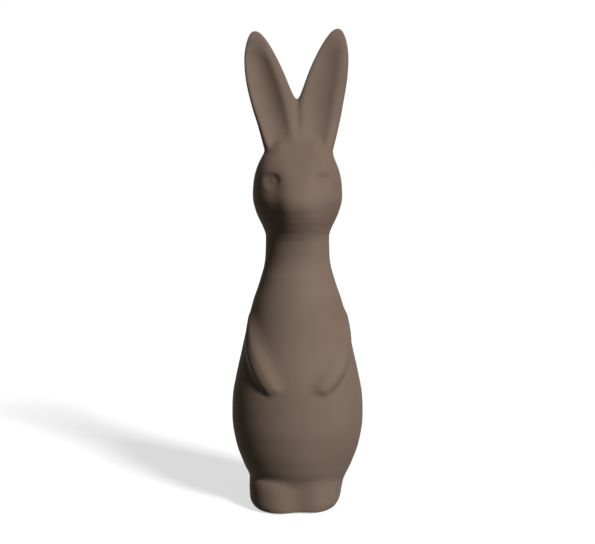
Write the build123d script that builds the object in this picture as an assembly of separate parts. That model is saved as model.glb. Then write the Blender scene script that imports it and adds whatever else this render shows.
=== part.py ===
"""A standing rabbit figurine in matte glazed ceramic, on its closing disc and felt pads.

Every hollow casting, lug and pad is its own solid. Lengths are in millimetres.
The rabbit looks along -Y, stands on the plane z = 0, and its left side is +X.
"""

from build123d import *
import math
import os

os.makedirs("parts", exist_ok=True)

# The casting
wall = 4.0
lute_gap = 0.15
cut_overrun = 2.0

# The felt pads under the foot ring
felt_thickness = 1.0
felt_radius = 4.5
felt_ring_radius = 12.5
felt_ring_start_angle = 45.0
felt_pad_count = 4

# The body, from its foot ring up to the neck joint
torso_height = 165.0
belly_half_width = 41.3
belly_front_depth = 40.5
belly_back_depth = 41.5
neck_radius = 19.9
neck_front_depth = 22.0
neck_lean = 0.9
neck_lap_height = 8.0
neck_lip = 1.0

# The head, from the neck joint up to the crown
head_height = 64.5
head_half_width = 28.2
head_front_depth = 32.0
head_back_depth = 25.0
nose_reach = 4.0
nose_half_width = 13.0
eye_radius = 5.4
eye_depth = 1.5
eye_ball_radius = 3.2
eye_ball_relief = 1.2
eye_height = 38.5
eye_spread = 15.8

# The ears
left_ear_length = 75.5
right_ear_length = 74.0
ear_reach = 32.4
ear_thickness = 10.5
ear_front_offset = 1.0
ear_lean_back = 5.0
ear_seat_drop = 6.0
ear_root_depth = 12.0
ear_rim = 2.8
ear_hollow_depth = 4.6
ear_tenon_radius = 4.0
ear_tenon_spread = 10.0
ear_seat_share = 0.93

# The forelegs, laid on the sides of the chest
foreleg_half_width = 6.8
foreleg_relief = 4.2
foreleg_top_height = 118.0
foreleg_drop = 36.0
left_foreleg_top_angle = 78.0
right_foreleg_top_angle = 62.0
paw_angle = 15.0

# The hind feet
left_foot_height = 22.5
right_foot_height = 20.5
left_foot_reach_share = 0.66
right_foot_reach_share = 0.735
foot_front_share = 0.778
foot_back_share = 0.60
foot_groove_offset = 1.5
foot_groove_radius = 5.0
foot_groove_depth = 1.6

# The tail
tail_radius = 11.0
tail_height = 33.0
tail_relief = 6.4

# The pegs that locate the small pieces on the castings
peg_radius = 3.0

# The closing disc in the foot ring
disc_radius = 16.0
disc_thickness = 3.0
disc_ledge = 2.0
drain_radius = 4.0

# Heights along the body, then half width, front depth and back depth, as shares of the belly's
torso_station_shares = [
    (0.000, 0.460, 0.450, 0.480),
    (0.012, 0.550, 0.540, 0.570),
    (0.036, 0.640, 0.625, 0.665),
    (0.095, 0.715, 0.690, 0.745),
    (0.165, 0.840, 0.830, 0.850),
    (0.255, 0.957, 0.950, 0.960),
    (0.345, 1.000, 1.000, 1.000),
    (0.420, 0.990, 0.988, 0.995),
    (0.490, 0.942, 0.940, 0.955),
    (0.580, 0.862, 0.858, 0.890),
    (0.675, 0.778, 0.775, 0.810),
    (0.770, 0.688, 0.688, 0.715),
    (0.860, 0.570, 0.575, 0.595),
    (0.935, 0.495, 0.505, 0.505),
]

# Heights up the head, then half width, front depth, back depth, nose and nose width, as shares
head_station_shares = [
    (0.150, 0.762, 0.810, 0.845, 0.25, 1.00),
    (0.220, 0.838, 0.875, 0.900, 0.50, 1.00),
    (0.280, 0.900, 0.920, 0.938, 0.80, 1.00),
    (0.335, 0.943, 0.965, 0.965, 0.95, 1.00),
    (0.420, 0.987, 1.000, 0.990, 1.00, 1.00),
    (0.510, 1.000, 0.975, 1.000, 1.00, 0.96),
    (0.600, 0.984, 0.895, 1.000, 0.85, 0.96),
    (0.695, 0.930, 0.790, 0.970, 0.50, 0.94),
    (0.790, 0.845, 0.675, 0.900, 0.20, 0.92),
    (0.880, 0.720, 0.545, 0.780, 0.00, 0.90),
    (0.945, 0.560, 0.415, 0.620, 0.00, 0.90),
    (0.985, 0.350, 0.262, 0.400, 0.00, 0.90),
    (1.000, 0.130, 0.092, 0.150, 0.00, 0.90),
]

# Heights up an ear, then its outer and inner edge as shares of its reach, and its thickness
ear_station_shares = [
    (0.030, 0.655, -0.02, 2.00),
    (0.160, 0.750, -0.02, 1.45),
    (0.290, 0.850, -0.02, 1.12),
    (0.390, 0.900, -0.01, 1.00),
    (0.470, 0.937, 0.08, 0.94),
    (0.570, 0.976, 0.165, 0.90),
    (0.690, 0.995, 0.275, 0.84),
    (0.800, 1.000, 0.410, 0.76),
    (0.880, 0.980, 0.505, 0.66),
    (0.945, 0.930, 0.610, 0.52),
    (0.985, 0.865, 0.710, 0.36),
    (1.000, 0.820, 0.770, 0.24),
]
ear_hollow_first_station = 0
ear_hollow_last_station = 9

# How far along a foreleg, its width and relief as shares
foreleg_station_shares = [
    (0.00, 0.45, 0.20),
    (0.10, 0.75, 0.42),
    (0.28, 0.95, 0.75),
    (0.50, 1.00, 1.00),
    (0.72, 1.00, 1.05),
    (0.88, 0.88, 1.00),
    (0.97, 0.62, 0.78),
    (1.00, 0.34, 0.50),
]
foreleg_peg_share = 0.55

# How far up a foot, its width and length as shares
foot_station_shares = [
    (0.00, 0.90, 0.980),
    (0.07, 0.945, 0.995),
    (0.20, 0.985, 1.000),
    (0.42, 1.00, 1.00),
    (0.65, 0.985, 0.985),
    (0.84, 0.93, 0.94),
    (0.95, 0.82, 0.84),
    (1.00, 0.62, 0.64),
]
foot_peg_height_share = 0.45

section_points = 32
seam_angle = 45.0

torso_base = felt_thickness
neck_z = torso_base + torso_height
crown_z = neck_z + head_height


# The round sections of the body and the head

def round_section(height, half_width, front_depth, back_depth, nose=0.0, nose_width=1.0, shift=0.0):
    """Half an ellipse in front, with a blunt nose on it, and half of another behind."""
    points = []
    for index in range(section_points):
        angle = math.radians(seam_angle) + 2 * math.pi * index / section_points
        x = half_width * math.cos(angle)
        depth = back_depth if math.sin(angle) > 0 else front_depth
        y = depth * math.sin(angle)
        if math.sin(angle) < 0:
            y -= nose * math.exp(-((x / nose_width) ** 4))
        points.append((x + shift, y, height))
    return make_face(Spline(*points, periodic=True))


def torso_sizes(share):
    """Half width, front depth and back depth of the body at a share of its height."""
    rows = torso_station_shares
    for low, high in zip(rows, rows[1:]):
        if low[0] <= share <= high[0]:
            way = (share - low[0]) / (high[0] - low[0])
            width_share = low[1] + way * (high[1] - low[1])
            front_share = low[2] + way * (high[2] - low[2])
            back_share = low[3] + way * (high[3] - low[3])
            return (
                belly_half_width * width_share,
                belly_front_depth * front_share,
                belly_back_depth * back_share,
            )
    return neck_radius, neck_front_depth, neck_radius


def neck_section(height, lean, inset):
    """The neck's section: fuller in front as it rises to the jaw, and round inside."""
    radius = neck_radius - inset
    front_depth = radius if inset > 0 else neck_front_depth + lean
    return round_section(height, radius, front_depth, radius)


def torso_form(inset=0.0):
    """The body as one closed form, drawn in by the inset."""
    sections = []
    for height_share, width_share, front_share, back_share in torso_station_shares:
        height = torso_base + torso_height * height_share
        if inset > 0 and height < torso_base + inset:
            continue
        sections.append(
            round_section(
                height,
                belly_half_width * width_share - inset,
                belly_front_depth * front_share - inset,
                belly_back_depth * back_share - inset,
            )
        )
    for height, lean in ((neck_z - neck_lap_height / 2, -neck_lean), (neck_z, 0)):
        sections.append(neck_section(height, lean, inset))
    return loft(sections)


def head_form(inset=0.0):
    """The head as one closed form, drawn in by the inset."""
    sections = []
    for height, lean in ((neck_z, 0), (neck_z + neck_lap_height / 2, neck_lean)):
        sections.append(neck_section(height, lean, inset))
    for height_share, *size_shares, nose_share, nose_width_share in head_station_shares:
        half_width = head_half_width * size_shares[0] - inset
        front_depth = head_front_depth * size_shares[1] - inset
        back_depth = head_back_depth * size_shares[2] - inset
        height = neck_z + head_height * height_share
        too_small = min(half_width, front_depth, back_depth) < wall or height > crown_z - inset
        if inset > 0 and too_small:
            continue
        nose = nose_reach * nose_share
        nose_width = nose_half_width * nose_width_share
        sections.append(round_section(height, half_width, front_depth, back_depth, nose, nose_width))
    return loft(sections)


def face_depth(across, height):
    """How far the face stands in front of the axis, at a place across it and a height on the head."""
    share = height / head_height
    rows = head_station_shares
    low = [row for row in rows if row[0] <= share][-1]
    high = rows[rows.index(low) + 1]
    way = (share - low[0]) / (high[0] - low[0])
    mixed = [a + way * (b - a) for a, b in zip(low, high)]
    side_share = across / (head_half_width * mixed[1])
    round_depth = head_front_depth * mixed[2] * math.sqrt(1 - side_share ** 2)
    nose_width = nose_half_width * mixed[5]
    return round_depth + nose_reach * mixed[4] * math.exp(-((across / nose_width) ** 4))


# Pegs, each a short round bar between two points

def bar(start, end, radius):
    along = Vector(*end) - Vector(*start)
    plane = Plane(origin=start, z_dir=along)
    return extrude(plane * Circle(radius), along.length)


# The body casting

def upright(radius, low, high):
    """A round bar on the figurine's axis."""
    return Pos(0, 0, low) * Cylinder(
        radius, high - low, align=(Align.CENTER, Align.CENTER, Align.MIN)
    )


torso_solid = torso_form()
torso_cavity = torso_form(wall)
disc_top = torso_base + disc_thickness
disc_seat = upright(disc_radius, torso_base - cut_overrun, disc_top)
disc_opening = upright(disc_radius - disc_ledge, torso_base - cut_overrun, torso_base + 2 * wall)

spigot_radius = neck_radius - wall / 2
neck_bore_radius = neck_radius - wall - neck_lip
spigot = upright(spigot_radius, neck_z - wall, neck_z + neck_lap_height)
neck_bore = upright(neck_bore_radius, neck_z - wall - cut_overrun, neck_z + neck_lap_height + cut_overrun)
torso_shell = torso_solid + spigot - torso_cavity - neck_bore - disc_opening - disc_seat

# The head casting, with its socket over the neck

head_solid = head_form()
socket = upright(spigot_radius + lute_gap, neck_z - cut_overrun, neck_z + neck_lap_height + lute_gap)
head_shell = head_solid - head_form(wall) - socket


def eye_place(side):
    """The point on the face under an eye, and the way out of it."""
    step = eye_radius / 2
    depth = face_depth(eye_spread, eye_height)
    outer_depth = face_depth(eye_spread + step, eye_height)
    upper_depth = face_depth(eye_spread, eye_height + step)
    out = Vector(side * (depth - outer_depth) / step, -1, (depth - upper_depth) / step).normalized()
    return Vector(side * eye_spread, -depth, neck_z + eye_height), out


# Each eye is a shallow dish pressed in the face, with a low ball left in it
for side in (-1, 1):
    place, out = eye_place(side)
    dish_radius = (eye_radius ** 2 + eye_depth ** 2) / (2 * eye_depth)
    dish_centre = place + out * (dish_radius - eye_depth)
    ball_centre = place - out * (eye_ball_radius + eye_depth - eye_ball_relief)
    across = out.cross(Vector(0, 0, 1))
    dish = Plane(origin=dish_centre, x_dir=out, z_dir=across) * Sphere(dish_radius)
    ball = Plane(origin=ball_centre, x_dir=-out, z_dir=across) * Sphere(eye_ball_radius)
    head_shell -= dish - ball


# The ears: solid casts, dished in front, side by side on the crown

def ear_cast(side, length):
    sections = []
    hollows = []
    root_z = crown_z - ear_seat_drop
    centres = []
    for height_share, outer_share, inner_share, thick_share in ear_station_shares:
        outer = ear_reach * outer_share
        inner = ear_reach * inner_share
        centre_x = side * (outer + inner) / 2
        half_width = (outer - inner) / 2
        half_thick = ear_thickness * thick_share / 2
        y = ear_front_offset + ear_lean_back * height_share
        z = root_z + length * height_share
        centres.append((centre_x, y, z, half_width, half_thick))
    first = centres[0]
    below = (first[0], first[1], first[2] - ear_root_depth, first[3] - wall, first[4])
    for centre_x, y, z, half_width, half_thick in [below] + centres:
        sections.append(Pos(centre_x, y, z) * Ellipse(half_width, half_thick))
    cast = loft(sections)
    dished = centres[ear_hollow_first_station:ear_hollow_last_station + 1]
    for centre_x, y, z, half_width, half_thick in dished:
        depth = min(ear_hollow_depth, half_thick)
        hollow_x = half_width - ear_rim
        hollows.append(Pos(centre_x, y - half_thick, z) * Ellipse(hollow_x, depth))
    cast -= loft(hollows)
    own_side = Pos(side * ear_reach, 0, crown_z) * Box(
        2 * ear_reach, 2 * ear_reach, 4 * max(left_ear_length, right_ear_length)
    )
    cast = cast & own_side
    return cast - head_solid


def crown_tenon(side, radius, reach):
    x = side * ear_tenon_spread
    top = (x, ear_front_offset, crown_z + ear_tenon_radius)
    low = (x, ear_front_offset, crown_z - head_height * (1 - ear_seat_share) - reach)
    return bar(low, top, radius)


ears = {}
for name, side, length in (("left_ear", 1, left_ear_length), ("right_ear", -1, right_ear_length)):
    tenon = crown_tenon(side, ear_tenon_radius, wall)
    ears[name] = ear_cast(side, length) + tenon
    head_shell -= crown_tenon(side, ear_tenon_radius + lute_gap, wall + cut_overrun)


# The forelegs: low rolls laid down the sides of the chest, from shoulder to paw

def foreleg_path(top_angle, share):
    """Point on the body's left side under a foreleg, and the way out of the body there."""
    height = foreleg_top_height - foreleg_drop * share
    angle = math.radians(top_angle + (paw_angle - top_angle) * share)
    half_width, front_depth, back_depth = torso_sizes((height - torso_base) / torso_height)
    point = Vector(half_width * math.sin(angle), -front_depth * math.cos(angle), height)
    out = Vector(math.sin(angle) / half_width, -math.cos(angle) / front_depth, 0)
    return point, out.normalized()


def foreleg_roll(top_angle):
    sections = []
    step = 1 / section_points
    for share, width_share, relief_share in foreleg_station_shares:
        point, out = foreleg_path(top_angle, share)
        ahead = foreleg_path(top_angle, share + step)[0] - foreleg_path(top_angle, share - step)[0]
        plane = Plane(origin=point, x_dir=out, z_dir=ahead)
        shape = Ellipse(foreleg_relief * relief_share, foreleg_half_width * width_share)
        sections.append(plane * shape)
    return loft(sections) - torso_solid


def foreleg_peg(top_angle, radius, reach):
    point, out = foreleg_path(top_angle, foreleg_peg_share)
    return bar(point - out * reach, point + out * (foreleg_relief / 2), radius)


def foreleg_and_hole(top_angle):
    """A foreleg with its peg, and the hole for the peg, on the body's left side."""
    foreleg = foreleg_roll(top_angle) + foreleg_peg(top_angle, peg_radius, wall)
    return foreleg, foreleg_peg(top_angle, peg_radius + lute_gap, wall + cut_overrun)


left_foreleg, left_hole = foreleg_and_hole(left_foreleg_top_angle)
right_foreleg, right_hole = (
    mirror(shape, about=Plane.YZ) for shape in foreleg_and_hole(right_foreleg_top_angle)
)
forelegs = {"left_foreleg": left_foreleg, "right_foreleg": right_foreleg}
torso_shell = torso_shell - left_hole - right_hole


# The hind feet: two flat-bottomed blocks round the front and sides of the body's foot

foot_front_reach = belly_front_depth * foot_front_share
foot_back_reach = belly_back_depth * foot_back_share


def foot_half_width(side, reach_share):
    """From the groove between the feet to the foot's outer edge."""
    return belly_half_width * reach_share - side * foot_groove_offset


def foot_block(side, height, half_width):
    sections = []
    for height_share, width_share, length_share in foot_station_shares:
        sections.append(
            round_section(
                torso_base + height * height_share,
                half_width * width_share,
                foot_front_reach * length_share,
                foot_back_reach * length_share,
                shift=foot_groove_offset,
            )
        )
    own_side = Pos(foot_groove_offset + side * belly_half_width, 0, torso_base) * Box(
        2 * belly_half_width, 4 * belly_half_width, 4 * height
    )
    groove_y = -foot_front_reach - foot_groove_radius + foot_groove_depth
    groove = Pos(foot_groove_offset, groove_y, 0) * upright(
        foot_groove_radius, -cut_overrun, torso_base + height + cut_overrun
    )
    return (loft(sections) & own_side) - groove - torso_solid


def foot_peg(side, foot_half_width, radius, reach):
    z = torso_base + right_foot_height * foot_peg_height_share
    half_width, front_depth, back_depth = torso_sizes((z - torso_base) / torso_height)
    x = foot_groove_offset + side * foot_half_width / 2
    seat_y = -front_depth * math.sqrt(1 - (x / half_width) ** 2)
    return bar((x, seat_y + reach, z), (x, seat_y - foot_groove_depth, z), radius)


feet = {}
for name, side, height, reach_share in (
    ("left_foot", 1, left_foot_height, left_foot_reach_share),
    ("right_foot", -1, right_foot_height, right_foot_reach_share),
):
    half_width = foot_half_width(side, reach_share)
    feet[name] = foot_block(side, height, half_width) + foot_peg(side, half_width, peg_radius, wall)
    torso_shell -= foot_peg(side, half_width, peg_radius + lute_gap, wall + peg_radius + cut_overrun)


# The tail: a round knob on the back

tail_seat = torso_sizes((tail_height - torso_base) / torso_height)[2]


def tail_peg(radius, reach):
    low = (0, tail_seat - reach, tail_height)
    return bar(low, (0, tail_seat + tail_relief / 2, tail_height), radius)


tail_ball = Pos(0, tail_seat + tail_relief - tail_radius, tail_height) * Sphere(tail_radius)
tail = tail_ball - torso_solid + tail_peg(peg_radius, wall)
torso_shell -= tail_peg(peg_radius + lute_gap, wall + cut_overrun)

# The closing disc, with the hole that the casting drained through
disc = upright(disc_radius - lute_gap, torso_base, disc_top)
base_plate = disc - upright(drain_radius, torso_base - cut_overrun, disc_top + cut_overrun)


# The felt pads

def felt_pad(index):
    angle = math.radians(felt_ring_start_angle + 360 * index / felt_pad_count)
    x = felt_ring_radius * math.cos(angle)
    y = felt_ring_radius * math.sin(angle)
    return Pos(x, y, 0) * upright(felt_radius, 0, felt_thickness)


nodes = {"torso_shell": torso_shell, "head_shell": head_shell, "tail": tail, "base_plate": base_plate}
nodes.update(ears)
nodes.update(forelegs)
nodes.update(feet)
for index in range(felt_pad_count):
    nodes[f"felt_pad_{index + 1}"] = felt_pad(index)

for name, shape in nodes.items():
    export_step(shape, f"parts/{name}.step")
    print(name, round(shape.volume), [round(size, 1) for size in shape.bounding_box().size])
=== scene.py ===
import math

import bmesh
import bpy
import numpy as np
import openvdb
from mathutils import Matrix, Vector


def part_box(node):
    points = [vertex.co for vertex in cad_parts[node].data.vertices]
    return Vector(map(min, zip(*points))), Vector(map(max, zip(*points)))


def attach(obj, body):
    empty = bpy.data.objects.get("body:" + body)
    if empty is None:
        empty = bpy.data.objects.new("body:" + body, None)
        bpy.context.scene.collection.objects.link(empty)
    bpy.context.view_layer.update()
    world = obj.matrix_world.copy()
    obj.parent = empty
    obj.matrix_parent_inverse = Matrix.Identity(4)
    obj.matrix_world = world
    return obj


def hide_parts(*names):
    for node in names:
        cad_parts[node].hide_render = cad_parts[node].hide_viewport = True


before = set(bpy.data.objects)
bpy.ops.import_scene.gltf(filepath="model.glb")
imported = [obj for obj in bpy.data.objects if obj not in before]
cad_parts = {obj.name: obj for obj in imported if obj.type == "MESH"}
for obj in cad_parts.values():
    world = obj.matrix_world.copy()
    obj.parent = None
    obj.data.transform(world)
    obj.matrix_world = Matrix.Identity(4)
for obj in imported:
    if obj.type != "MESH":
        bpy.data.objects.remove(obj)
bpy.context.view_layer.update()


# The body is a hollow casting, poured as slip in a plaster mould and open at its foot ring.
# Its outside is one smooth bottle form, rounder behind than in front, under a matt taupe glaze
# that is wiped off the ring it was fired on.

body_low, body_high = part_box("torso_shell")
head_low, head_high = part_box("head_shell")
plate_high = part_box("base_plate")[1]
casting_wall = 0.004
body_base = body_low[2]
body_rise = head_low[2] - body_base
body_rows = 129
body_columns = 193
# Over 1, the rows lie closer together low on the body
body_row_crowding = 1.3
weld_reach = 5e-7
sharp_angle = math.radians(50)

# Heights as shares of the rise, then the body's size there as a share of its largest
body_width_shares = [
    (0.000, 0.440), (0.012, 0.545), (0.036, 0.640), (0.095, 0.712), (0.165, 0.840),
    (0.255, 0.957), (0.345, 1.000), (0.420, 0.990), (0.490, 0.942), (0.580, 0.862),
    (0.675, 0.778), (0.770, 0.688), (0.860, 0.570), (0.935, 0.495), (1.000, 0.482),
]
body_front_shares = [
    (0.000, 0.430), (0.012, 0.535), (0.036, 0.625), (0.095, 0.694), (0.165, 0.840),
    (0.255, 0.952), (0.345, 1.000), (0.420, 0.988), (0.490, 0.940), (0.580, 0.858),
    (0.675, 0.775), (0.770, 0.688), (0.860, 0.575), (0.935, 0.505), (0.976, 0.523),
    (1.000, 0.543),
]
body_back_shares = [
    (0.000, 0.460), (0.012, 0.565), (0.036, 0.665), (0.095, 0.745), (0.165, 0.850),
    (0.255, 0.960), (0.345, 1.000), (0.420, 0.995), (0.490, 0.955), (0.580, 0.890),
    (0.675, 0.810), (0.770, 0.715), (0.860, 0.595), (0.935, 0.505), (1.000, 0.480),
]


class Wire:
    """A value that leaves a node. Sums and products of it add Math nodes to its drawing."""

    def __init__(self, drawing, socket):
        self.drawing = drawing
        self.socket = socket

    def of(self, operation, *others):
        """The result of a Math node on this value and others."""
        return self.drawing.math(operation, self, *others)

    def __add__(self, other):
        return self.of("ADD", other)

    def __radd__(self, other):
        return self.drawing.math("ADD", other, self)

    def __sub__(self, other):
        return self.of("SUBTRACT", other)

    def __rsub__(self, other):
        return self.drawing.math("SUBTRACT", other, self)

    def __mul__(self, other):
        return self.of("MULTIPLY", other)

    def __rmul__(self, other):
        return self.drawing.math("MULTIPLY", other, self)

    def __truediv__(self, other):
        return self.of("DIVIDE", other)

    def __rtruediv__(self, other):
        return self.drawing.math("DIVIDE", other, self)

    def __pow__(self, other):
        return self.of("POWER", other)

    def __neg__(self):
        return 0.0 - self


class Drawing:
    """A node tree while it is drawn."""

    def __init__(self, tree):
        self.tree = tree

    def node(self, kind, sockets=(), **settings):
        """A new node: its settings are made first, then its sockets are set or linked."""
        made = self.tree.nodes.new(kind)
        for name, value in settings.items():
            setattr(made, name, value)
        for key, value in dict(sockets).items():
            if isinstance(value, Wire):
                self.tree.links.new(value.socket, made.inputs[key])
            else:
                made.inputs[key].default_value = value
        return made

    def wire(self, kind, sockets=(), output=0, **settings):
        """What leaves a new node."""
        return Wire(self, self.node(kind, sockets, **settings).outputs[output])

    def math(self, operation, *values):
        return self.wire("ShaderNodeMath", dict(enumerate(values)), operation=operation)

    def step(self, value, low, high):
        """0 below low and 1 above high, smooth between; low may be above high."""
        sockets = {"Value": value, "From Min": low, "From Max": high}
        return self.wire("ShaderNodeMapRange", sockets, interpolation_type="SMOOTHSTEP")

    def curve(self, value, stations):
        """A smooth curve through stations of (place, share)."""
        made = self.node("ShaderNodeFloatCurve", {"Value": value})
        points = made.mapping.curves[0].points
        while len(points) < len(stations):
            points.new(0.5, 0.5)
        for point, station in zip(points, stations):
            point.location = station
            point.handle_type = "AUTO_CLAMPED"
        made.mapping.update()
        return Wire(self, made.outputs[0])

    def mixed(self, share, *colours):
        """A colour between two others, each a wire or three numbers."""
        first, second = (
            colour if isinstance(colour, Wire) else (*colour, 1) for colour in colours
        )
        sockets = {"Factor": share, 6: first, 7: second}
        return self.wire("ShaderNodeMix", sockets, output=2, data_type="RGBA")


def geometry_drawing(name, labels):
    """A Geometry Nodes tree with a named input for each label, and a wire from each."""
    tree = bpy.data.node_groups.new(name, "GeometryNodeTree")
    tree.interface.new_socket("Geometry", in_out="OUTPUT", socket_type="NodeSocketGeometry")
    kinds = {"Rows": "NodeSocketInt", "Glaze": "NodeSocketMaterial"}
    for label in labels:
        kind = kinds.get(label, "NodeSocketFloat")
        tree.interface.new_socket(label, in_out="INPUT", socket_type=kind)
    drawing = Drawing(tree)
    entry = drawing.node("NodeGroupInput")
    return drawing, {label: Wire(drawing, entry.outputs[label]) for label in labels}


def end_drawing(drawing, geometry, finish):
    """Closes a tree: its result is real geometry, all of one finish."""
    geometry = drawing.wire("GeometryNodeRealizeInstances", {"Geometry": geometry})
    sockets = {"Geometry": geometry, "Material": finish}
    geometry = drawing.wire("GeometryNodeSetMaterial", sockets)
    drawing.node("NodeGroupOutput", {0: geometry})


def mesh_from_tree(tree, values):
    """The mesh that a tree makes from these values of its inputs."""
    carrier = bpy.data.objects.new("blank", bpy.data.meshes.new("blank"))
    bpy.context.collection.objects.link(carrier)
    modifier = carrier.modifiers.new("form", "NODES")
    modifier.node_group = tree
    for item in tree.interface.items_tree:
        if item.in_out == "INPUT":
            modifier[item.identifier] = values[item.name]
    carrier.update_tag()
    bpy.context.view_layer.update()
    evaluated = carrier.evaluated_get(bpy.context.evaluated_depsgraph_get())
    mesh = bpy.data.meshes.new_from_object(evaluated)
    bpy.data.objects.remove(carrier)
    return mesh


def placed(name, mesh, slot_name, *nodes):
    """A finished piece of the figurine that stands for its CAD nodes."""
    mesh.name = name
    mesh.shade_smooth()
    mesh.set_sharp_from_angle(angle=sharp_angle)
    piece = bpy.data.objects.new(name, mesh)
    bpy.context.collection.objects.link(piece)
    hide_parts(*nodes)
    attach(piece, "root")


def turned_point(angle, half_width, front, back):
    """x and y on a section that is round, with one depth in front and another behind."""
    sine = angle.of("SINE")
    middle = (front + back) * 0.5
    x = half_width * angle.of("COSINE")
    y = sine * (middle + (back - front) * 0.5 * sine)
    return x, y


def grid_places(drawing, rows, columns):
    """The row number of each point of a grid, and the angle of its column."""
    index = drawing.wire("GeometryNodeInputIndex")
    row = (index / columns).of("FLOOR")
    column = index - row * columns
    return row, column * (-2 * math.pi / (columns - 1))


def welded_grid(drawing, rows, columns, x, y, z):
    """A grid with its points put at those places, and its seam and its poles welded."""
    mesh = drawing.wire("GeometryNodeMeshGrid", {"Vertices X": rows, "Vertices Y": columns})
    place = drawing.wire("ShaderNodeCombineXYZ", {0: x, 1: y, 2: z})
    mesh = drawing.wire("GeometryNodeSetPosition", {"Geometry": mesh, "Position": place})
    sockets = {"Geometry": mesh, "Distance": weld_reach}
    return drawing.wire("GeometryNodeMergeByDistance", sockets)


def body_tree():
    """Rows run up the outside, then, where there are enough of them, down the inside."""
    drawing, inputs = geometry_drawing("body form", [
        "Rows", "Base", "Rise", "Half Width", "Front", "Back", "Wall", "Ring Radius", "Plate Top",
        "Glaze",
    ])
    row, angle = grid_places(drawing, inputs["Rows"], body_columns)
    last = body_rows - 1
    turned = row.of("MINIMUM", 2 * last + 1 - row).of("MAXIMUM", 0.0)
    share = (turned / last) ** body_row_crowding
    height = inputs["Base"] + inputs["Rise"] * share
    within = row.of("GREATER_THAN", last + 0.5) * row.of("LESS_THAN", 2 * last + 1.5)
    above_plate = drawing.step(height, inputs["Plate Top"], inputs["Plate Top"] + inputs["Wall"])
    ring = inputs["Ring Radius"]
    sizes = []
    for size, shares in (("Half Width", body_width_shares), ("Front", body_front_shares),
                         ("Back", body_back_shares)):
        outer = inputs[size] * drawing.curve(share, shares)
        inner = ring + (outer - inputs["Wall"] - ring) * above_plate
        sizes.append(outer + (inner - outer) * within)
    x, y = turned_point(angle, *sizes)
    mesh = welded_grid(drawing, inputs["Rows"], body_columns, x, y, height)
    end_drawing(drawing, mesh, inputs["Glaze"])
    return drawing.tree


def new_material(name, colour, roughness, specular):
    """A material with one Principled shader, and a drawing to vary it with."""
    material = bpy.data.materials.new(name)
    material.use_nodes = True
    shader = material.node_tree.nodes["Principled BSDF"]
    shader.inputs["Base Color"].default_value = (*colour, 1)
    shader.inputs["Roughness"].default_value = roughness
    shader.inputs["Specular IOR Level"].default_value = specular
    return material, Drawing(material.node_tree), shader


def noise(drawing, place, size, detail=2.0):
    """A soft uneven value round 0.5, whose patches are about that many metres across."""
    sockets = {"Vector": place, "Scale": 1 / size, "Detail": detail}
    return drawing.wire("ShaderNodeTexNoise", sockets)


def bumps(drawing, height, strength, depth):
    """A relief in the surface, from a height between 0 and 1."""
    sockets = {"Height": height, "Strength": strength, "Distance": depth}
    return drawing.wire("ShaderNodeBump", sockets)


def feed(drawing, shader, wires):
    """Leads what varies over the surface into the shader's sockets."""
    for name, wire in wires.items():
        drawing.tree.links.new(wire.socket, shader.inputs[name])


# A size is that of a patch of the pattern; edges are the noise values that it comes in between
taupe = (0.216, 0.156, 0.120)
taupe_light = (0.226, 0.164, 0.127)
taupe_dark = (0.204, 0.146, 0.111)
bare_clay = (0.36, 0.27, 0.20)
glaze_roughness = 0.60
cloud_roughness = 0.08
wiped_roughness = 0.15
glaze_specular = 0.03
cloud_size = 0.028
cloud_edges = (0.3, 0.7)
speck_size = 0.0011
speck_edges = (0.60, 0.74)
speck_strength = 0.35
peel_size = 0.0035
peel_fine_size = 0.0009
peel_fine_share = 0.4
peel_strength = 0.10
peel_depth = 0.0002

# Heights over the foot ring's edge between which the wiped clay turns to glaze
wiped_height = 0.0002
glazed_height = 0.0007


def taupe_glaze():
    """Matt glaze: a faint cloudiness, fine specks, and clay that shows where the ring is wiped."""
    material, drawing, shader = new_material(
        "matt taupe glaze", taupe, glaze_roughness, glaze_specular
    )
    place = drawing.wire("ShaderNodeTexCoord", output="Object")
    cloud = noise(drawing, place, cloud_size, detail=3.0)
    speck = drawing.step(noise(drawing, place, speck_size), *speck_edges)
    colour = drawing.mixed(drawing.step(cloud, *cloud_edges), taupe_dark, taupe_light)
    colour = drawing.mixed(speck * speck_strength, colour, taupe_dark)
    height = drawing.wire("ShaderNodeSeparateXYZ", {0: place}, output="Z")
    wiped = 1 - drawing.step(height, body_base + wiped_height, body_base + glazed_height)
    colour = drawing.mixed(wiped, colour, bare_clay)
    roughness = glaze_roughness + cloud_roughness * cloud + wiped_roughness * wiped
    coarse = noise(drawing, place, peel_size)
    fine = noise(drawing, place, peel_fine_size)
    peel = coarse * (1 - peel_fine_share) + fine * peel_fine_share
    skin = bumps(drawing, peel, peel_strength, peel_depth)
    feed(drawing, shader, {"Base Color": colour, "Roughness": roughness, "Normal": skin})
    return material


glaze = taupe_glaze()
body_form = body_tree()
body_values = {
    "Rows": 2 * body_rows + 1, "Base": body_base, "Rise": body_rise,
    "Half Width": body_high[0], "Front": -body_low[1], "Back": body_high[1],
    "Wall": casting_wall, "Ring Radius": plate_high[0], "Plate Top": plate_high[2],
    "Glaze": glaze,
}
placed("body", mesh_from_tree(body_form, body_values), "glazed_ceramic", "torso_shell")


# The closing plate is a disc of the same clay, luted into the foot ring after casting and left
# unglazed. The hole in it lets the air out in the kiln.

clay_dark = (0.31, 0.23, 0.165)
clay_light = (0.41, 0.31, 0.235)
clay_roughness = 0.85
clay_specular = 0.3
clay_grain_size = 0.0016
clay_bump_strength = 0.35
clay_bump_depth = 0.0002
grit_colour = (0.16, 0.11, 0.08)
grit_size = 0.0007
grit_edges = (0.66, 0.76)
grit_strength = 0.6


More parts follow.
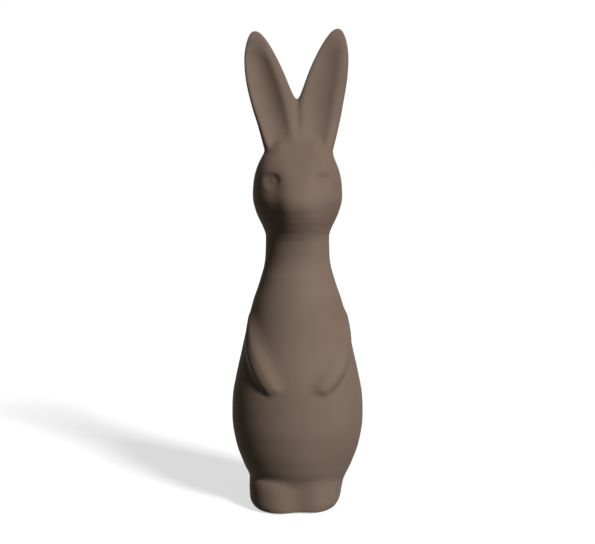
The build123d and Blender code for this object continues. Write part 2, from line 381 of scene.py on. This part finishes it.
def bisque():
    """Bare fired clay: grainy, with darker grit and a dry bump."""
    material, drawing, shader = new_material(
        "bare fired clay", bare_clay, clay_roughness, clay_specular
    )
    place = drawing.wire("ShaderNodeTexCoord", output="Object")
    grains = noise(drawing, place, clay_grain_size, detail=4.0)
    grit = drawing.step(noise(drawing, place, grit_size), *grit_edges)
    colour = drawing.mixed(grains, clay_dark, clay_light)
    colour = drawing.mixed(grit * grit_strength, colour, grit_colour)
    skin = bumps(drawing, grains, clay_bump_strength, clay_bump_depth)
    feed(drawing, shader, {"Base Color": colour, "Normal": skin})
    return material


def cover(node, material):
    """Gives a CAD node that is shown as it is its own finish."""
    for material_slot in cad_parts[node].material_slots:
        material_slot.material = material


cover("base_plate", bisque())


# Four felt pads keep the clay off the shelf. They are discs punched from a sheet of pressed wool,
# and are stuck under the foot ring after the last firing.

felt_grey = (0.06, 0.055, 0.05)
felt_dark = (0.035, 0.032, 0.03)
felt_light = (0.09, 0.083, 0.076)
felt_roughness = 0.95
felt_specular = 0.1
fibre_size = 0.0006
fibre_bump_strength = 0.6
fibre_bump_depth = 0.0003


def felt():
    """Pressed wool: matted fibres of two close greys."""
    material, drawing, shader = new_material(
        "pressed felt", felt_grey, felt_roughness, felt_specular
    )
    place = drawing.wire("ShaderNodeTexCoord", output="Object")
    fibre = noise(drawing, place, fibre_size, detail=5.0)
    colour = drawing.mixed(fibre, felt_dark, felt_light)
    skin = bumps(drawing, fibre, fibre_bump_strength, fibre_bump_depth)
    feed(drawing, shader, {"Base Color": colour, "Normal": skin})
    return material


pad_felt = felt()
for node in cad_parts:
    if node.startswith("felt_pad"):
        cover(node, pad_felt)


# The head is a second casting, seated over the neck and luted there, so the glaze runs across
# the joint. A blunt snout stands out of its front, and an eye is pressed in on each side of it.

head_front = 0.032
snout_reach = 0.004
snout_half_width = 0.0115
eye_spread = 0.0158
eye_height = 0.0385
eye_half_width = 0.0056
eye_half_height = 0.0056
eye_depth = 0.0014
eyeball_relief = 0.0003
head_rows = 241
head_columns = 321
crown_squareness = 6

# Shares of the eye's half width: the dish's level floor, below and above, its rim, and the ball
eye_floor_below = 0.1
eye_floor_above = 0.4
eye_rim = 1.15
eyeball_edge = 0.75
# Under 1, the ball is taller than it is wide
eyeball_height_weight = 0.6

# The most that the head's back shares come to, once the crown has closed them in
head_back_fullest = 0.95

# Heights as shares of the head, then its size there; the crown closes these in by itself
head_width_shares = [
    (0.00, 0.706), (0.06, 0.706), (0.15, 0.762), (0.22, 0.838), (0.28, 0.900), (0.335, 0.943),
    (0.42, 0.990), (0.51, 1.000), (0.60, 0.998), (0.70, 0.985), (0.80, 0.972), (1.00, 0.980),
]
head_front_shares = [
    (0.00, 0.6875), (0.03, 0.7035), (0.06, 0.727), (0.15, 0.808), (0.22, 0.872), (0.28, 0.903),
    (0.32, 0.929), (0.35, 0.940), (0.385, 0.944), (0.42, 0.934), (0.46, 0.909), (0.51, 0.865),
    (0.60, 0.804), (0.695, 0.755), (0.79, 0.6875), (0.88, 0.605), (1.00, 0.590),
]
head_back_shares = [
    (0.00, 0.756), (0.06, 0.756), (0.15, 0.795), (0.22, 0.842), (0.28, 0.874), (0.335, 0.897),
    (0.42, 0.920), (0.51, 0.935), (0.60, 0.950), (0.70, 0.957), (0.80, 0.970), (1.00, 1.000),
]
snout_shares = [
    (0.00, 0.00), (0.06, 0.02), (0.15, 0.25), (0.22, 0.50), (0.28, 0.80), (0.32, 0.915),
    (0.35, 0.965), (0.42, 1.00), (0.51, 0.98), (0.60, 0.82), (0.70, 0.50), (0.80, 0.20),
    (0.90, 0.04), (1.00, 0.00),
]
# How much fuller the cheeks and the temples are than an ellipse
fullness_shares = [
    (0.00, 0.000), (0.30, 0.000), (0.42, 0.015), (0.51, 0.030), (0.62, 0.065), (0.72, 0.095),
    (0.82, 0.100), (1.00, 0.080),
]


def head_tree():
    """Row 0 is the middle of the flat underside, and the last row is the top of the crown."""
    drawing, inputs = geometry_drawing("head form", [
        "Base", "Rise", "Half Width", "Front", "Back", "Snout Reach", "Snout Half Width",
        "Eye Spread", "Eye Height", "Eye Half Width", "Eye Half Height", "Eye Depth",
        "Eyeball Relief", "Glaze",
    ])
    row, angle = grid_places(drawing, head_rows, head_columns)
    run = ((row - 1) / (head_rows - 2)).of("MAXIMUM", 0.0)
    share = (run * (math.pi / 2)).of("SINE")
    crown = (1 - share ** crown_squareness).of("MAXIMUM", 0.0).of("SQRT")
    # 0 on the first row and on the last, which are single points, and 1 on the rows between them
    between = row.of("MINIMUM", 1.0) * run.of("LESS_THAN", 0.99999)
    closing = crown * between
    sizes = []
    for size, shares in (("Half Width", head_width_shares), ("Front", head_front_shares),
                         ("Back", head_back_shares)):
        sizes.append(inputs[size] * drawing.curve(share, shares) * closing)
    x, y = turned_point(angle, *sizes)
    height = inputs["Base"] + inputs["Rise"] * share
    across = x / inputs["Snout Half Width"]
    # 1 over the front, and down to 0 at each side
    facing = (angle.of("SINE") * -2.0).of("MAXIMUM", 0.0).of("MINIMUM", 1.0)
    snout = (-(across * across) ** 2).of("EXPONENT") * drawing.curve(share, snout_shares)
    y = y - inputs["Snout Reach"] * snout * facing * closing
    # Greatest half-way between the front and a side
    diagonal = angle.of("SINE").of("MINIMUM", 0.0) * angle.of("COSINE") * 2.0
    y = y - sizes[1] * drawing.curve(share, fullness_shares) * diagonal * diagonal
    mesh = welded_grid(drawing, head_rows, head_columns, x, y, height)
    mesh = press_eyes(drawing, inputs, mesh)
    end_drawing(drawing, mesh, inputs["Glaze"])
    return drawing.tree


def press_eyes(drawing, inputs, mesh):
    """Sinks a soft dish in each side of the face, round a low eyeball."""
    place = drawing.node("ShaderNodeSeparateXYZ", {0: drawing.wire("GeometryNodeInputPosition")})
    x, y, z = (Wire(drawing, output) for output in place.outputs)
    across = (x.of("ABSOLUTE") - inputs["Eye Spread"]) / inputs["Eye Half Width"]
    up = (z - inputs["Base"] - inputs["Eye Height"]) / inputs["Eye Half Height"]
    out = (across * across + up * up).of("SQRT")
    floor = eye_floor_below + (eye_floor_above - eye_floor_below) * drawing.step(up, -0.5, 0.8)
    dish = 1 - drawing.step(out, floor, eye_rim)
    round_ball = (across * across + up * up * eyeball_height_weight).of("SQRT")
    ball = 1 - drawing.step(round_ball, 0.0, eyeball_edge)
    depth = inputs["Eye Depth"] * dish - inputs["Eyeball Relief"] * ball
    depth = depth * y.of("LESS_THAN", 0.0)
    sockets = {0: drawing.wire("GeometryNodeInputNormal"), "Scale": -depth}
    inward = drawing.wire("ShaderNodeVectorMath", sockets, operation="SCALE")
    return drawing.wire("GeometryNodeSetPosition", {"Geometry": mesh, "Offset": inward})


head_values = {
    "Base": head_low[2], "Rise": head_high[2] - head_low[2], "Half Width": head_high[0],
    "Front": head_front, "Back": head_high[1] / head_back_fullest, "Snout Reach": snout_reach,
    "Snout Half Width": snout_half_width, "Eye Spread": eye_spread, "Eye Height": eye_height,
    "Eye Half Width": eye_half_width, "Eye Half Height": eye_half_height,
    "Eye Depth": eye_depth, "Eyeball Relief": eyeball_relief, "Glaze": glaze,
}
head_mesh = mesh_from_tree(head_tree(), head_values)
placed("head", head_mesh, "glazed_ceramic", "head_shell")


# The ears are cast solid, side by side on the crown. Each is a long leaf, dished in front, and
# the two grow together in a web between their roots. Their joints with the head are wiped smooth.

sides = (("left", 1), ("right", -1))
point_spacing = 0.0005
# How deep the edge of a piece lies in its carrier's skin, and how far its hidden rim goes on
seam_tuck = 0.000012
skirt_depth = 0.0006
skirt_reach = 0.0005

# A share is one of an ear's length or width, and the rest are metres
ear_base = 0.224
ear_notch = -0.0008
ear_front_offset = 0.001
ear_lean_back = 0.005
ear_squareness = 3.0
ear_dish_depth_shares = {"left_ear": 0.28, "right_ear": 0.37}
ear_dish_width_share = 0.80
ear_dish_start_share = -0.06
ear_dish_full_share = 0.08
ear_dish_fading_share = 0.72
ear_dish_end_share = 0.97
ear_least_narrowing = 0.03
ear_tip_share = 0.88
ear_tip_clearance = 0.003
ear_front_blend = 0.010
ear_side_blend = 0.003
ear_blend_inner = 0.010
ear_blend_outer = 0.019
ear_web_front_blend = 0.0075
ear_web_back_blend = 0.013
ear_web_change_front = -0.003
ear_web_change_back = 0.002
ear_dish_blend = 0.0022
ear_margin = 0.004
ear_block_front = -0.024
ear_block_back = 0.026
ear_block_base = 0.206
head_skin_reach = 0.008

# Places up an ear, then the distance of its middle from the plane between the ears
ear_middle_stations = [
    (0.0, 0.0101), (0.2, 0.0127), (0.4, 0.0155), (0.6, 0.01915), (0.8, 0.02285), (1.0, 0.0259),
]
# The ear's half width, before the tip rounds it in
ear_width_stations = [
    (0.0, 0.0113), (0.2, 0.0141), (0.4, 0.0175), (0.6, 0.0201), (0.8, 0.0216), (1.0, 0.0216),
]
ear_thickness_stations = [
    (0.0, 0.0115), (0.1, 0.0088), (0.2, 0.0070), (0.35, 0.0060), (0.5, 0.0059), (0.8, 0.0067),
    (1.0, 0.0080),
]
# How far the pair of ears lies to the left of the figurine's middle
ear_shift_stations = [
    (0.0, 0.0008), (0.2, 0.0006), (0.4, -0.0002), (0.6, -0.0006), (1.0, -0.0007),
]
# How far each dish lies to one side of its ear's middle
ear_dish_shift_stations = [
    (0.0, -0.0018), (0.15, -0.0024), (0.35, -0.0031), (0.6, -0.0032), (1.0, -0.0030),
]


def through(stations, places):
    """A smooth curve through stations of (place, size), read at places and level past its ends."""
    at, size = np.array(stations).T
    slope = np.gradient(size, at)
    places = np.clip(places, at[0], at[-1])
    low = np.clip(np.searchsorted(at, places, side="right") - 1, 0, len(at) - 2)
    span = at[low + 1] - at[low]
    way = (places - at[low]) / span
    return (
        (1 + 2 * way) * (1 - way) ** 2 * size[low] + way * (1 - way) ** 2 * span * slope[low]
        + way ** 2 * (3 - 2 * way) * size[low + 1] - way ** 2 * (1 - way) * span * slope[low + 1]
    )


def skin_of(mesh):
    """The points and faces of a mesh, with its open ends closed."""
    work = bmesh.new()
    work.from_mesh(mesh)
    bmesh.ops.holes_fill(work, edges=work.edges)
    bmesh.ops.triangulate(work, faces=work.faces)
    bmesh.ops.recalc_face_normals(work, faces=work.faces)
    work.verts.index_update()
    points = np.array([vert.co for vert in work.verts], np.float32)
    triangles = np.array([[vert.index for vert in face.verts] for face in work.faces], np.uint32)
    work.free()
    return points, triangles


class Block:
    """A block of evenly spaced points. A form in it is a field: below 0 inside, above 0 outside."""

    def __init__(self, low, high):
        self.first = np.floor(np.array(low) / point_spacing).astype(int)
        self.count = np.ceil(np.array(high) / point_spacing).astype(int) - self.first + 1
        axes = [
            (start + np.arange(n)) * point_spacing for start, n in zip(self.first, self.count)
        ]
        self.x, self.y, self.z = np.meshgrid(*axes, indexing="ij", sparse=True)

    def skin_distance(self, skin, reach):
        """Distance from a closed skin, right within the reach."""
        points, triangles = skin
        grid = openvdb.FloatGrid.createLevelSetFromPolygons(
            points, triangles=triangles, halfWidth=reach / point_spacing,
            transform=openvdb.createLinearTransform(voxelSize=point_spacing),
        )
        values = np.empty(tuple(self.count), np.float32)
        grid.copyToArray(values, ijk=tuple(int(n) for n in self.first))
        return values.astype(float)

    def distance(self, field):
        """A field made to grow by one metre a metre near the form's surface."""
        slopes = np.gradient(field, point_spacing)
        steepness = np.sqrt(sum(slope ** 2 for slope in slopes))
        return field / np.maximum(steepness, 1e-6)

    def surface(self, field):
        """The glazed mesh where a field is 0, closed where the block ends."""
        field = np.pad(field, 1, constant_values=point_spacing)
        band = 3 * point_spacing
        grid = openvdb.FloatGrid(band)
        grid.transform = openvdb.createLinearTransform(voxelSize=point_spacing)
        start = tuple(int(n) - 1 for n in self.first)
        grid.copyFromArray(np.clip(field, -band, band).astype(np.float32), ijk=start)
        points, quads = grid.convertToQuads()
        mesh = bpy.data.meshes.new("surface")
        mesh.from_pydata(points.tolist(), [], [face[::-1] for face in quads.tolist()])
        mesh.validate()
        mesh.materials.append(glaze)
        return mesh


def joined(first, second, blend):
    """Two forms made one, with a fillet about as wide as the blend."""
    near = np.maximum(blend - np.abs(first - second), 0) / blend
    return np.minimum(first, second) - near ** 3 * blend / 6


def cut_away(form, cutter, blend):
    """A form less a cutter, with its new edge rounded by the blend."""
    return -joined(-form, cutter, blend)


def grown_on(carrier, limb, blend):
    """A limb whose edge runs out on its carrier, and tucks just under the carrier's skin."""
    form = joined(carrier, limb, blend) + seam_tuck
    form = np.maximum(form, -(carrier + skirt_depth))
    return np.maximum(form, limb - (blend + skirt_reach))


def half_of(mesh, x, side):
    """A glazed mesh's part on one side of an upright plane, with the cut closed flat."""
    work = bmesh.new()
    work.from_mesh(mesh)
    everything = work.verts[:] + work.edges[:] + work.faces[:]
    bmesh.ops.bisect_plane(
        work, geom=everything, plane_co=(x, 0, 0), plane_no=(-side, 0, 0), clear_outer=True,
    )
    bmesh.ops.holes_fill(work, edges=work.edges)
    bmesh.ops.triangulate(work, faces=[face for face in work.faces if len(face.verts) > 4])
    half = bpy.data.meshes.new("half")
    work.to_mesh(half)
    work.free()
    half.materials.append(glaze)
    return half


def eased(value, low, high):
    """0 at low and 1 at high, smooth between."""
    way = np.clip((value - low) / (high - low), 0, 1)
    return way ** 2 * (3 - 2 * way)


def ear_fields(block, side, length, dish_depth_share):
    """One ear's leaf, and the dish in its front."""
    share = (block.z - ear_base) / length
    middle = side * through(ear_middle_stations, share) + through(ear_shift_stations, share)
    half_width = through(ear_width_stations, share)
    half_thick = through(ear_thickness_stations, share)
    left = 1 - np.maximum(share, 0)
    y = ear_front_offset + ear_lean_back * np.clip(share, 0, 1)
    across = np.abs((block.x - middle) / half_width) ** ear_squareness
    inward = np.abs((block.y - y) / half_thick) ** ear_squareness
    leaf = block.distance((across + inward) ** (2 / ear_squareness) - left)
    narrowing = np.sqrt(np.maximum(left, ear_least_narrowing))
    width = half_width * narrowing * ear_dish_width_share
    across = (block.x - middle - through(ear_dish_shift_stations, share)) / width
    depth = width * dish_depth_share * eased(share, ear_dish_start_share, ear_dish_full_share)
    depth = depth * (1 - eased(share, ear_dish_fading_share, ear_dish_end_share))
    floor = y - half_thick * narrowing + depth * (1 - across ** 2)
    floor = floor - ear_tip_clearance * eased(share, ear_tip_share, 1)
    return leaf, block.distance(block.y - floor)


ear_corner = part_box("left_ear")[1]
ear_block = Block(
    (-ear_corner[0] - ear_margin, ear_block_front, ear_block_base),
    (ear_corner[0] + ear_margin, ear_block_back, ear_corner[2] + ear_margin),
)
leaves, dishes = [], []
for hand, side in sides:
    name = hand + "_ear"
    ear_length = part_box(name)[1][2] - ear_base
    leaf, dish = ear_fields(ear_block, side, ear_length, ear_dish_depth_shares[name])
    leaves.append(leaf)
    dishes.append(dish)
behind = eased(
    ear_block.y, ear_front_offset + ear_web_change_front, ear_front_offset + ear_web_change_back
)
web_blend = ear_web_front_blend + (ear_web_back_blend - ear_web_front_blend) * behind
ears = joined(*leaves, web_blend)
ears = cut_away(ears, np.minimum(*dishes), ear_dish_blend)
beside = eased(np.abs(ear_block.x), ear_blend_inner, ear_blend_outer)
ear_blend = ear_front_blend + (ear_side_blend - ear_front_blend) * beside
head_field = ear_block.skin_distance(skin_of(head_mesh), head_skin_reach)
ears_mesh = ear_block.surface(grown_on(head_field, ears, ear_blend))
for hand, side in sides:
    name = hand + "_ear"
    placed(name + "_leaf", half_of(ears_mesh, ear_notch, side), "glazed_ceramic", name)


# The forelegs are low rolls of clay, pressed on the sides of the chest from shoulder to paw. The
# upper edge of each is wiped into the chest, and the lower edge keeps its crease.

foreleg_top = 0.118
foreleg_drop = 0.0385
foreleg_radius = 0.0068
foreleg_relief = 0.0042
foreleg_steps = 90
foreleg_tangent_step = 0.01
foreleg_soft_blend = 0.009
foreleg_crisp_blend = 0.0038
foreleg_margin = np.array([0.013, 0.011, 0.013])
body_skin_reach = 0.012

# Turned from straight ahead, at the shoulder and at the paw
foreleg_angles = {
    "left_foreleg": (math.radians(84), math.radians(24)),
    "right_foreleg": (math.radians(76), math.radians(24.5)),
}
# How far up its side a roll's edge starts to be wiped, and where it is wiped most
foreleg_wiped_from = -0.35
foreleg_wiped_most = 0.55

# Places along a foreleg, then its thickness and how far it stands out, as shares
foreleg_size_stations = [
    (0.0, 0.50), (0.1, 0.72), (0.28, 0.92), (0.5, 1.0), (0.75, 0.98), (0.92, 0.84), (1.0, 0.68),
]
foreleg_relief_stations = [
    (0.0, 0.12), (0.1, 0.30), (0.28, 0.58), (0.5, 0.84), (0.75, 0.95), (0.92, 0.88), (1.0, 0.70),
]


def body_size(shares, height):
    """The body's size at a height, as a share of its largest."""
    return through(shares, (height - body_base) / body_rise)


def foreleg_point(angles, share):
    """A point on the body's left side under a foreleg, and the way out of the body there."""
    height = foreleg_top - foreleg_drop * share
    angle = angles[0] + (angles[1] - angles[0]) * share
    half_width = body_high[0] * body_size(body_width_shares, height)
    front = -body_low[1] * body_size(body_front_shares, height)
    point = np.array([half_width * math.sin(angle), -front * math.cos(angle), height])
    out = np.array([math.sin(angle) / half_width, -math.cos(angle) / front, 0])
    return point, out / np.linalg.norm(out)


def foreleg_field(block, side, angles):
    """The roll's field, and how far a point lies on the roll's upper side, from -1 to 1."""
    field = np.full(tuple(block.count), np.inf)
    upper = np.zeros(tuple(block.count))
    for step in range(foreleg_steps + 1):
        share = step / foreleg_steps
        point, out = foreleg_point(angles, share)
        beyond = foreleg_point(angles, share + foreleg_tangent_step)[0]
        before = foreleg_point(angles, share - foreleg_tangent_step)[0]
        upward = np.cross(beyond - before, out)
        upward /= np.linalg.norm(upward)
        size = float(through(foreleg_size_stations, share))
        relief = foreleg_relief * float(through(foreleg_relief_stations, share))
        centre = point - out * (foreleg_radius * size - relief)
        dx, dy, dz = block.x * side - centre[0], block.y - centre[1], block.z - centre[2]
        far = np.sqrt(dx ** 2 + dy ** 2 + dz ** 2)
        value = far - foreleg_radius * size
        nearer = value < field
        field = np.where(nearer, value, field)
        lean = (dx * upward[0] + dy * upward[1] + dz * upward[2]) / np.maximum(far, 1e-6)
        upper = np.where(nearer, lean, upper)
    return field, upper


body_skin = skin_of(mesh_from_tree(body_form, {**body_values, "Rows": body_rows}))
for hand, side in sides:
    name = hand + "_foreleg"
    low, high = (np.array(corner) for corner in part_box(name))
    block = Block(low - foreleg_margin, high + foreleg_margin)
    roll, upper = foreleg_field(block, side, foreleg_angles[name])
    wiped = (upper - foreleg_wiped_from) / (foreleg_wiped_most - foreleg_wiped_from)
    wiped = np.clip(wiped, 0, 1) ** 2
    blend = foreleg_crisp_blend + (foreleg_soft_blend - foreleg_crisp_blend) * wiped
    chest = block.skin_distance(body_skin, body_skin_reach)
    mesh = block.surface(grown_on(chest, roll, blend))
    placed(name + "_roll", mesh, "glazed_ceramic", name)


# The hind feet are two low blocks of clay round the front of the body's foot, flat below. A
# groove parts them, and their upper edges are wiped into the body.

groove_x = 0.0015
groove_half_width = 0.0095
groove_front = 0.027
foot_top_blend = 0.008
foot_side_blend = 0.0035
foot_front_blend = 0.006
foot_blend_sides = 0.010
foot_blend_fronts = 0.024
foot_fronts = {"left_foot": 0.0310, "right_foot": 0.0318}
foot_heights = {"left_foot": 0.0215, "right_foot": 0.0188}
foot_squareness = {"left_foot": 2.1, "right_foot": 2.8}
foot_back = 0.0249
foot_change_reach = 0.004
feet_margin = np.array([0.012, 0.012, 0.020])

# Heights up a foot as shares, then its width and its length there
foot_width_stations = [(0.0, 0.895), (0.07, 0.94), (0.2, 0.985), (0.42, 1.0), (1.0, 1.0)]
foot_length_stations = [(0.0, 0.98), (0.07, 0.99), (0.2, 0.998), (0.42, 1.0), (1.0, 0.985)]


def feet_field(block, half_widths):
    """Both feet as one block, round from above, with the groove down its front."""
    to_left = eased(block.x - groove_x, -foot_change_reach, foot_change_reach)
    height, front = (
        sizes["right_foot"] + (sizes["left_foot"] - sizes["right_foot"]) * to_left
        for sizes in (foot_heights, foot_fronts)
    )
    half_width, squareness = (
        np.where(block.x > groove_x, sizes["left_foot"], sizes["right_foot"])
        for sizes in (half_widths, foot_squareness)
    )
    share = (block.z - body_base) / height
    half_width = half_width * through(foot_width_stations, share)
    long = through(foot_length_stations, share)
    groove = np.exp(-(((block.x - groove_x) / groove_half_width) ** 2))
    depth = np.where(block.y < 0, front - (front - groove_front) * groove, foot_back) * long
    across = np.abs((block.x - groove_x) / half_width) ** squareness
    along = np.abs(block.y / depth) ** squareness
    plan = (across + along) ** (1 / squareness)
    top = block.z - body_base - height
    return cut_away(block.distance((plan - 1) * front), -top, foot_top_blend)


feet_low = np.minimum(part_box("left_foot")[0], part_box("right_foot")[0])
feet_high = np.maximum(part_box("left_foot")[1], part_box("right_foot")[1])
feet_block = Block(feet_low - feet_margin, feet_high + feet_margin)
body_foot = feet_block.skin_distance(body_skin, body_skin_reach)
foot_half_widths = {
    "left_foot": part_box("left_foot")[1][0] - groove_x,
    "right_foot": groove_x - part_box("right_foot")[0][0],
}
ahead = eased(-feet_block.y, foot_blend_sides, foot_blend_fronts)
foot_blend = foot_side_blend + (foot_front_blend - foot_side_blend) * ahead
feet = grown_on(body_foot, feet_field(feet_block, foot_half_widths), foot_blend)
feet_mesh = feet_block.surface(np.maximum(feet, body_base - feet_block.z))
for hand, side in sides:
    name = hand + "_foot"
    placed(name + "_lump", half_of(feet_mesh, groove_x, side), "glazed_ceramic", name)


# The tail is a ball of the same clay, stuck low on the back while both are damp. Its edge is wiped
# down all round, and the glaze covers the joint.

tail_low, tail_high = (np.array(corner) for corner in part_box("tail"))
tail_radius = 0.011
tail_blend = 0.005
tail_margin = 0.009
tail_centre = np.array([0, tail_high[1] - tail_radius, (tail_low[2] + tail_high[2]) / 2])
tail_block = Block(tail_low - tail_margin, tail_high + tail_margin)
ball = np.sqrt(
    (tail_block.x - tail_centre[0]) ** 2 + (tail_block.y - tail_centre[1]) ** 2
    + (tail_block.z - tail_centre[2]) ** 2
) - tail_radius
back = tail_block.skin_distance(body_skin, body_skin_reach)
tail_mesh = tail_block.surface(grown_on(back, ball, tail_blend))
placed("tail_ball", tail_mesh, "glazed_ceramic", "tail")


# The studio: a pale floor that shows white and keeps the shadow, one broad lamp from the right,
# and a white room that fills the shadows faintly, a little more from behind.

floor_half_size = 6.0
floor_white = (0.8, 0.8, 0.8)
floor_bounce = (0.12, 0.12, 0.12)
floor_glow = 0.66
white = (1, 1, 1, 1)
lamp_azimuth = math.radians(38)
lamp_elevation = math.radians(30)
lamp_strength = 3.15
lamp_spread = math.radians(14)
fill_strength = 0.040
back_fill_strength = 0.20
camera_distance = 0.7
camera_elevation = math.radians(4)
aim_height = 0.14767
lens_length = 67.23
sensor_width = 36


def seen_share(drawing):
    """1 where a surface is seen, straight, in a gloss or through glass, and 0 where it lights."""
    rays = drawing.node("ShaderNodeLightPath")
    seen = Wire(drawing, rays.outputs["Is Camera Ray"])
    seen = seen.of("MAXIMUM", Wire(drawing, rays.outputs["Is Glossy Ray"]))
    return seen.of("MAXIMUM", Wire(drawing, rays.outputs["Is Transmission Ray"]))


def floor_finish():
    """Matt paint that is seen as white round the shadow, and throws little light back up."""
    material = bpy.data.materials.new("pale floor")
    material.use_nodes = True
    material.node_tree.nodes.clear()
    drawing = Drawing(material.node_tree)
    seen = seen_share(drawing)
    colour = drawing.mixed(seen, floor_bounce, floor_white)
    paint = drawing.wire("ShaderNodeBsdfDiffuse", {"Color": colour})
    glow = drawing.wire("ShaderNodeEmission", {"Color": white, "Strength": seen * floor_glow})
    both = drawing.wire("ShaderNodeAddShader", {0: paint, 1: glow})
    drawing.node("ShaderNodeOutputMaterial", {"Surface": both})
    return material


floor_mesh = bpy.data.meshes.new("floor")
corners = [(-1, -1, 0), (1, -1, 0), (1, 1, 0), (-1, 1, 0)]
points = [[number * floor_half_size for number in corner] for corner in corners]
floor_mesh.from_pydata(points, [], [range(4)])
floor_mesh.materials.append(floor_finish())
floor = bpy.data.objects.new("floor", floor_mesh)
bpy.context.collection.objects.link(floor)

lamp = bpy.data.objects.new("key lamp", bpy.data.lights.new("key lamp", "SUN"))
lamp.data.energy = lamp_strength
lamp.data.angle = lamp_spread
lamp.rotation_euler = (math.pi / 2 - lamp_elevation, 0, lamp_azimuth)
bpy.context.collection.objects.link(lamp)

world = bpy.data.worlds.new("studio")
world.use_nodes = True
world.node_tree.nodes.clear()
drawing = Drawing(world.node_tree)
seen = seen_share(drawing)
toward = drawing.wire("ShaderNodeTexCoord", output="Generated")
behind = drawing.wire("ShaderNodeSeparateXYZ", {0: toward}, output="Y").of("MAXIMUM", 0.0)
fill = fill_strength + back_fill_strength * behind ** 4
strength = fill + (1 - fill) * seen
sky = drawing.wire("ShaderNodeBackground", {"Color": white, "Strength": strength})
drawing.node("ShaderNodeOutputWorld", {"Surface": sky})
bpy.context.scene.world = world

camera = bpy.data.objects.new("camera", bpy.data.cameras.new("camera"))
camera.data.sensor_width = sensor_width
camera.data.lens = lens_length
camera.location = (
    0, -camera_distance * math.cos(camera_elevation),
    aim_height + camera_distance * math.sin(camera_elevation),
)
camera.rotation_euler = (math.pi / 2 - camera_elevation, 0, 0)
bpy.context.collection.objects.link(camera)
bpy.context.scene.camera = camera
bpy.context.scene.view_settings.view_transform = "Standard"
